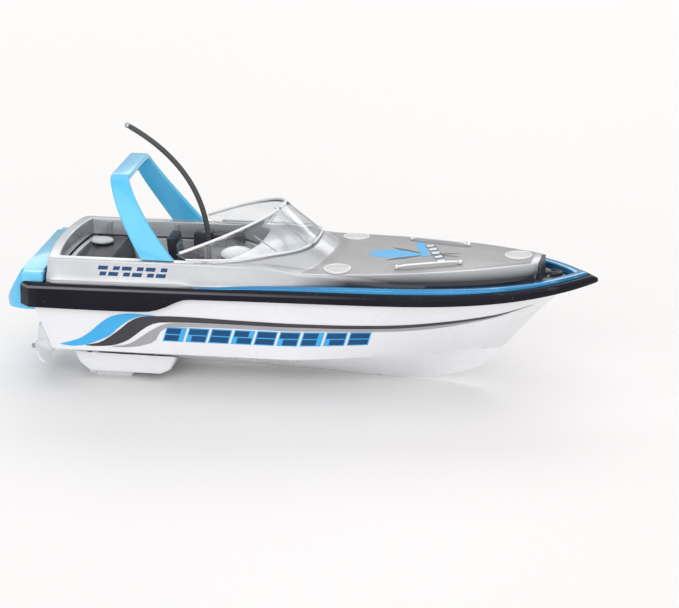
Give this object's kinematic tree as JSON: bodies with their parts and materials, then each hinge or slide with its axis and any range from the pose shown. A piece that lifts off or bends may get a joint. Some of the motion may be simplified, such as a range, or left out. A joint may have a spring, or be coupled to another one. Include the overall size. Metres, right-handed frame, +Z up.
{
  "type": "radio-controlled toy boat",
  "caption": "Palm-sized twin-screw radio-controlled runabout with open cockpit, clear windshield, raked radar arch, bow rub rail and whip aerial.",
  "frame": {"origin": "on the standing surface, midway between the bow tip and the stern tip, on the centreline", "axes": "+X to the bow, +Y to port, +Z up"},
  "size_m": [0.1284, 0.0416, 0.0555],
  "materials": {
    "arch_blue": "gloss",
    "board_green": "lacquered",
    "brass": "drawn",
    "cap_grey": "moulded",
    "chrome": "bright plated",
    "clear": "clear plastic",
    "deck_silver": "metallic satin",
    "hull_white": "gloss",
    "lead_red": "insulated wire",
    "pack_blue": "shrink sleeve",
    "panel_grey": "fine matte",
    "rail_black": "gloss",
    "rubber": "matte",
    "seat_dark": "semi gloss",
    "soft_white": "moulded",
    "steel": "brushed",
    "tray_grey": "matte",
    "trim_blue": "metallic gloss"
  },
  "bodies": {
    "hull": {"lower_hull": "hull_white", "drive_pod": "hull_white", "upper_deck": "deck_silver", "foredeck_panel": "panel_grey", "rub_rail": "rail_black", "sheer_trim": "trim_blue", "swim_platform": "arch_blue", "radar_arch": "arch_blue", "windshield": "clear", "bow_tray": "tray_grey", "bow_anchor": "chrome", "cockpit_tub": "deck_silver", "aft_bench": "seat_dark", "charge_socket": "rubber", "power_switch_body": "rubber", "helm_console": "seat_dark", "console_dome": "soft_white", "aerial_whip": "rubber", "aerial_tip": "steel", "aerial_grommet": "rubber", "motor_bracket": "soft_white", "battery_pack": "pack_blue", "battery_cradle": "soft_white", "receiver_board": "board_green", "board_post": "soft_white", "receiver_chip": "rubber", "receiver_crystal": "steel", "receiver_capacitor": "pack_blue", "battery_lead": "lead_red", "deck_vent_port": "chrome", "deck_vent_starboard": "chrome", "deck_vent_bow": "chrome", "pod_screw_1": "steel", "pod_screw_2": "steel", "pod_screw_3": "steel", "pod_screw_4": "steel", "handrail_port": "chrome", "helm_seat_port": "seat_dark", "stern_tube_port": "brass", "motor_can_port": "steel", "motor_endcap_port": "soft_white", "motor_lead_port": "lead_red", "water_contact_port": "brass", "handrail_starboard": "chrome", "helm_seat_starboard": "seat_dark", "stern_tube_starboard": "brass", "motor_can_starboard": "steel", "motor_endcap_starboard": "soft_white", "motor_lead_starboard": "lead_red", "water_contact_starboard": "brass"},
    "drive_port": {"propeller_port": "soft_white", "prop_shaft_port": "steel", "shaft_coupling_port": "rubber", "motor_stub_port": "steel"},
    "drive_starboard": {"propeller_starboard": "soft_white", "prop_shaft_starboard": "steel", "shaft_coupling_starboard": "rubber", "motor_stub_starboard": "steel"},
    "power_switch": {"power_switch_slider": "cap_grey"},
    "charge_plug": {"charge_plug": "cap_grey"}
  },
  "joints": [
    {"name": "propeller_port_spin", "type": "hinge", "parent": "hull", "child": "drive_port", "pos_m": [-0.05785, 0.006, 0.0054], "axis": [0.9863, 0, 0.165], "continuous": true},
    {"name": "propeller_starboard_spin", "type": "hinge", "parent": "hull", "child": "drive_starboard", "pos_m": [-0.05785, -0.006, 0.0054], "axis": [0.9863, 0, 0.165], "continuous": true},
    {"name": "power_switch_slide", "type": "slide", "parent": "hull", "child": "power_switch", "axis": [1, 0, 0], "range_m": [0, 0.002]},
    {"name": "charge_plug_lift", "type": "slide", "parent": "hull", "child": "charge_plug", "axis": [0, 0, 1], "range_m": [0, 0.003]}
  ]
}
